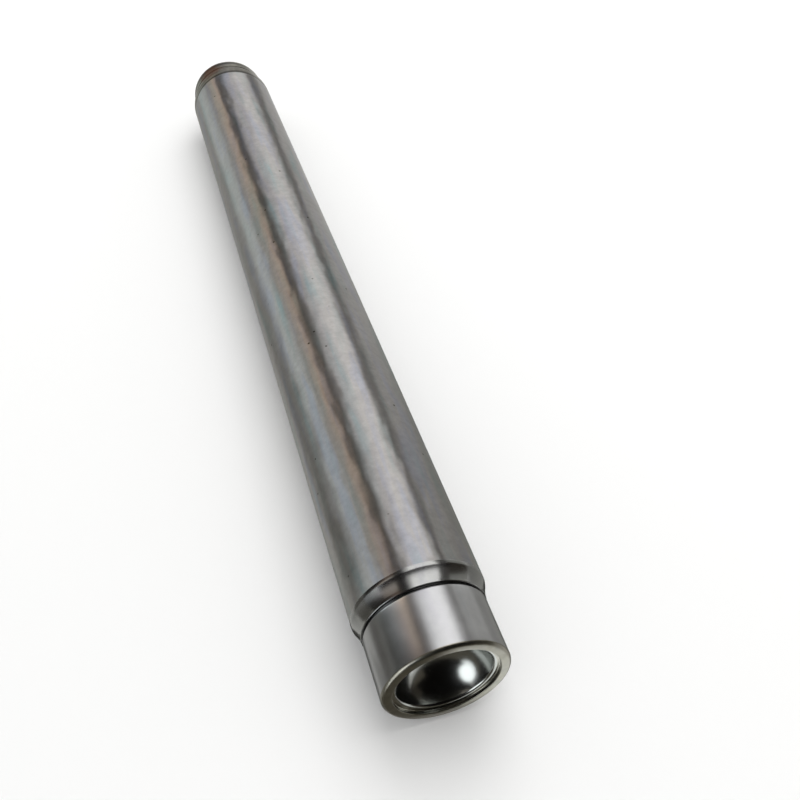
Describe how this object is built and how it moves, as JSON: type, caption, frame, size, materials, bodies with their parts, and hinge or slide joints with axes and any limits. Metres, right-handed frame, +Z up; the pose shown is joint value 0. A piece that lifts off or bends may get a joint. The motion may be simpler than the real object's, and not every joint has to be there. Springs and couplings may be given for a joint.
{
  "type": "engine pushrod",
  "caption": "Thick tubular engine pushrod lying on its side, with a polished ball socket pressed into one end and a ball end pressed into the other.",
  "frame": {"origin": "on the ground under the middle of the rod's length and width", "axes": "+Y along the rod from the socket end to the ball end, +Z up, +X across the rod"},
  "size_m": [0.0254, 0.2392, 0.0254],
  "materials": {
    "tube_steel": "centreless ground, satin, lightly oiled, with small pits",
    "socket_steel": "fine ground outside, polished in the cup",
    "ball_steel": "dark as-turned collar with a patch of rust, ground ball"
  },
  "bodies": {
    "root": {"push_tube": "tube_steel", "socket_end": "socket_steel", "ball_end": "ball_steel"}
  },
  "joints": []
}
